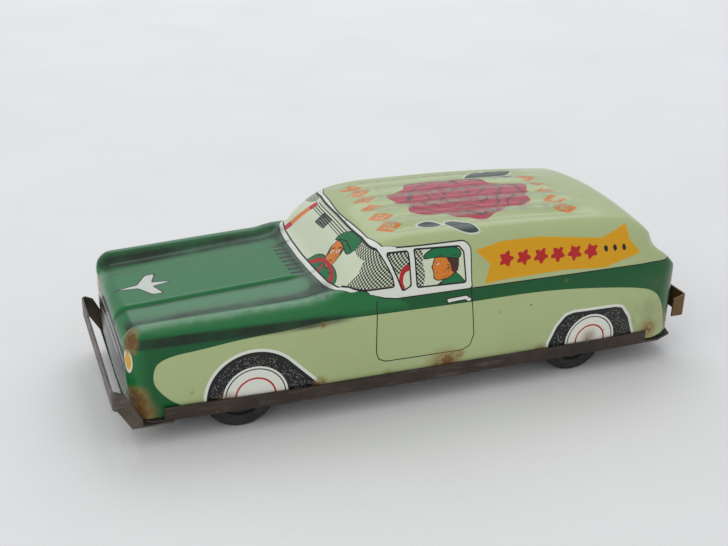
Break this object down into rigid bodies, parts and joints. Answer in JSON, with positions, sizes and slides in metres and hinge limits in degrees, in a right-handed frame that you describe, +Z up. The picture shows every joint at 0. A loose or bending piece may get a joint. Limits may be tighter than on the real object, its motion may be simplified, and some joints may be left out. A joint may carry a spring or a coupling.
{
  "type": "friction tin car",
  "caption": "Pressed tin delivery car with a printed one-sheet body, a rimmed base, bent strip bumpers, rubber-tyred wheels and a geared flywheel friction motor on its rear axle.",
  "frame": {"origin": "on the ground, under the middle of the car's overall length and width", "axes": "+Z up, -Y towards the front of the car, +X towards its left side"},
  "size_m": [0.0554, 0.1516, 0.0441],
  "materials": {
    "printed_tin": "lithographed tin, gloss varnish, worn",
    "base_tin": "brown lacquer, scuffed and rusted",
    "front_bumper_tin": "brown-grey lacquer, dull",
    "rear_bumper_tin": "golden-brown lacquer, dull",
    "hub_tin": "dull tinplate",
    "frame_tin": "dull tinplate",
    "steel": "drawn wire",
    "gear_brass": "stamped, dull",
    "flywheel_iron": "as cast, faces turned",
    "tyre_rubber": "matt, dusty"
  },
  "bodies": {
    "car": {"body_shell": "printed_tin", "base_plate": "base_tin", "front_bumper": "front_bumper_tin", "rear_bumper": "rear_bumper_tin", "motor_frame": "frame_tin", "motor_rivet_1": "steel", "motor_rivet_2": "steel", "motor_rivet_3": "steel", "motor_rivet_4": "steel"},
    "front_wheels": {"front_axle": "steel", "front_hub_right": "hub_tin", "front_hub_left": "hub_tin", "front_tyre_right": "tyre_rubber", "front_tyre_left": "tyre_rubber"},
    "rear_wheels": {"rear_axle": "steel", "rear_hub_right": "hub_tin", "rear_hub_left": "hub_tin", "rear_tyre_right": "tyre_rubber", "rear_tyre_left": "tyre_rubber", "drive_gear": "gear_brass"},
    "idler_set": {"idler_arbor": "steel", "idler_pinion": "gear_brass", "idler_gear": "gear_brass"},
    "flywheel_set": {"flywheel_arbor": "steel", "flywheel_pinion": "gear_brass", "flywheel": "flywheel_iron"}
  },
  "joints": [
    {"name": "flywheel_spin", "type": "hinge", "parent": "car", "child": "flywheel_set", "pos_m": [0, 0.02701, 0.01692], "axis": [1, 0, 0], "continuous": true},
    {"name": "idler_spin", "type": "hinge", "parent": "car", "child": "idler_set", "pos_m": [0, 0.03597, 0.01534], "axis": [1, 0, 0], "continuous": true},
    {"name": "rear_axle_spin", "type": "hinge", "parent": "car", "child": "rear_wheels", "pos_m": [0, 0.0415, 0.00875], "axis": [1, 0, 0], "continuous": true},
    {"name": "front_axle_spin", "type": "hinge", "parent": "car", "child": "front_wheels", "pos_m": [0, -0.0463, 0.00875], "axis": [1, 0, 0], "continuous": true}
  ],
  "couplings": [
    {"joint": "idler_spin", "follows": "flywheel_spin", "ratio": -0.38462},
    {"joint": "rear_axle_spin", "follows": "flywheel_spin", "ratio": 0.16026}
  ]
}
